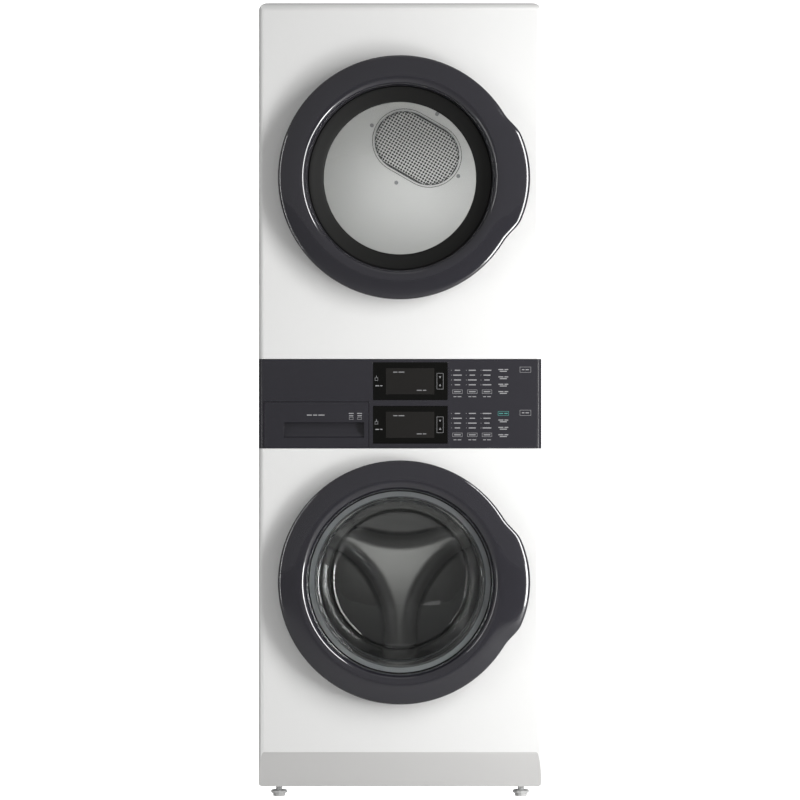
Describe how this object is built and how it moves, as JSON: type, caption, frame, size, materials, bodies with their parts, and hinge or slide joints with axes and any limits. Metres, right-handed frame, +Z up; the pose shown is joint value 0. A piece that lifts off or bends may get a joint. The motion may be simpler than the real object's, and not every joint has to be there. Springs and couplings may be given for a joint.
{
  "type": "washer dryer stack",
  "caption": "Laundry tower: front-loading washer below, dryer above and a control console with a detergent drawer between them; round doors with side grip bulges.",
  "frame": {"origin": "on the floor, under the centre of the bounding box", "axes": "+Z up, the doors face -Y, +X to the right of someone who faces the doors"},
  "size_m": [0.686, 0.81, 1.93],
  "materials": {
    "white_enamel": "gloss",
    "galvanised": "satin",
    "fascia_plastic": "satin",
    "ring_plastic": "gloss",
    "black_glass": "gloss",
    "black_plastic": "satin",
    "clear_glass": "polished",
    "stainless": "satin",
    "tub_plastic": "matte",
    "gasket_rubber": "matte",
    "cast_aluminium": "matte",
    "cast_weight": "matte",
    "motor_steel": "satin",
    "zinc_steel": "satin",
    "belt_rubber": "matte",
    "white_plastic": "satin",
    "drum_enamel": "satin"
  },
  "bodies": {
    "cabinet": {"base_frame": "galvanised", "washer_wrapper": "white_enamel", "washer_rear_cover": "galvanised", "middle_deck": "galvanised", "dryer_wrapper": "white_enamel", "dryer_rear_cover": "galvanised", "top_cover": "white_enamel", "washer_front_panel": "white_enamel", "dryer_front_panel": "white_enamel", "console_fascia": "fascia_plastic", "washer_display": "black_glass", "dryer_display": "black_glass", "washer_hinge_bracket": "zinc_steel", "dryer_hinge_bracket": "zinc_steel", "washer_door_lock": "black_plastic", "dispenser_housing": "white_plastic", "dryer_front_bulkhead": "galvanised", "dryer_rear_bulkhead": "drum_enamel", "air_grille": "drum_enamel", "heater_box": "galvanised", "dryer_motor": "motor_steel", "dryer_belt": "belt_rubber", "blower_housing": "galvanised", "drain_pump": "black_plastic", "damper_cylinder_left": "black_plastic", "damper_cylinder_right": "black_plastic", "water_inlet_valve": "white_plastic"},
    "foot_front_left": {"foot_front_left": "white_plastic"},
    "foot_front_right": {"foot_front_right": "white_plastic"},
    "foot_rear_left": {"foot_rear_left": "white_plastic"},
    "foot_rear_right": {"foot_rear_right": "white_plastic"},
    "washer_door": {"washer_door_ring": "ring_plastic", "washer_door_back": "black_plastic", "washer_door_glass": "clear_glass", "washer_hinge_leaf": "zinc_steel"},
    "washer_latch": {"washer_latch_hook": "zinc_steel"},
    "dryer_door": {"dryer_door_ring": "ring_plastic", "dryer_door_back": "black_plastic", "dryer_door_glass": "clear_glass", "dryer_hinge_leaf": "zinc_steel"},
    "tub_unit": {"tub_front": "tub_plastic", "tub_rear": "tub_plastic", "counterweight": "cast_weight", "washer_motor": "motor_steel", "drive_belt": "belt_rubber", "damper_rod_left": "zinc_steel", "damper_rod_right": "zinc_steel", "spring_left": "zinc_steel", "spring_right": "zinc_steel", "door_gasket": "gasket_rubber"},
    "washer_drum": {"washer_drum": "stainless", "drum_spider": "cast_aluminium", "drum_pulley": "cast_aluminium"},
    "motor_pulley": {"motor_pulley": "zinc_steel"},
    "dryer_drum": {"dryer_drum": "drum_enamel"},
    "dryer_rotor": {"dryer_motor_pulley": "zinc_steel", "blower_wheel": "white_plastic"},
    "lint_filter": {"lint_filter": "white_plastic"},
    "drawer": {"drawer_front": "fascia_plastic", "drawer_tray": "white_plastic"}
  },
  "joints": [
    {"name": "washer_door_hinge", "type": "hinge", "parent": "cabinet", "child": "washer_door", "pos_m": [-0.278, -0.379, 0.526], "axis": [0, 0, -1], "range_deg": [0, 130]},
    {"name": "washer_latch_pivot", "type": "hinge", "parent": "washer_door", "child": "washer_latch", "pos_m": [0.25, -0.37, 0.526], "axis": [0, 0, 1], "range_deg": [0, 9], "stiffness_Nm_per_rad": 0.3, "springref_deg": -14.32},
    {"name": "dryer_door_hinge", "type": "hinge", "parent": "cabinet", "child": "dryer_door", "pos_m": [-0.278, -0.379, 1.501], "axis": [0, 0, -1], "range_deg": [0, 130]},
    {"name": "tub_suspension", "type": "slide", "parent": "cabinet", "child": "tub_unit", "axis": [0, 0, 1], "range_m": [-0.012, 0.012], "stiffness_N_per_m": 12000, "springref_m": 0.03063, "deforming": ["spring_left", "spring_right", "door_gasket"]},
    {"name": "washer_drum_spin", "type": "hinge", "parent": "tub_unit", "child": "washer_drum", "pos_m": [0, 0, 0.526], "axis": [0, -1, 0], "continuous": true},
    {"name": "washer_motor_spin", "type": "hinge", "parent": "tub_unit", "child": "motor_pulley", "pos_m": [0, 0, 0.148], "axis": [0, -1, 0], "continuous": true},
    {"name": "dryer_drum_spin", "type": "hinge", "parent": "cabinet", "child": "dryer_drum", "pos_m": [0, 0, 1.501], "axis": [0, -1, 0], "continuous": true},
    {"name": "dryer_motor_spin", "type": "hinge", "parent": "cabinet", "child": "dryer_rotor", "pos_m": [0.19, 0, 1.15], "axis": [0, -1, 0], "continuous": true},
    {"name": "dispenser_drawer_slide", "type": "slide", "parent": "cabinet", "child": "drawer", "axis": [0, -1, 0], "range_m": [0, 0.21]},
    {"name": "lint_filter_slide", "type": "slide", "parent": "cabinet", "child": "lint_filter", "axis": [0, 0, 1], "range_m": [0, 0.12]},
    {"name": "foot_front_left_turn", "type": "hinge", "parent": "cabinet", "child": "foot_front_left", "pos_m": [-0.295, -0.298, 0], "axis": [0, 0, 1], "continuous": true},
    {"name": "foot_front_right_turn", "type": "hinge", "parent": "cabinet", "child": "foot_front_right", "pos_m": [0.295, -0.298, 0], "axis": [0, 0, 1], "continuous": true},
    {"name": "foot_rear_left_turn", "type": "hinge", "parent": "cabinet", "child": "foot_rear_left", "pos_m": [-0.295, 0.337, 0], "axis": [0, 0, 1], "continuous": true},
    {"name": "foot_rear_right_turn", "type": "hinge", "parent": "cabinet", "child": "foot_rear_right", "pos_m": [0.295, 0.337, 0], "axis": [0, 0, 1], "continuous": true}
  ],
  "couplings": [
    {"joint": "washer_motor_spin", "follows": "washer_drum_spin", "ratio": 7.5},
    {"joint": "dryer_motor_spin", "follows": "dryer_drum_spin", "ratio": 26.5}
  ]
}
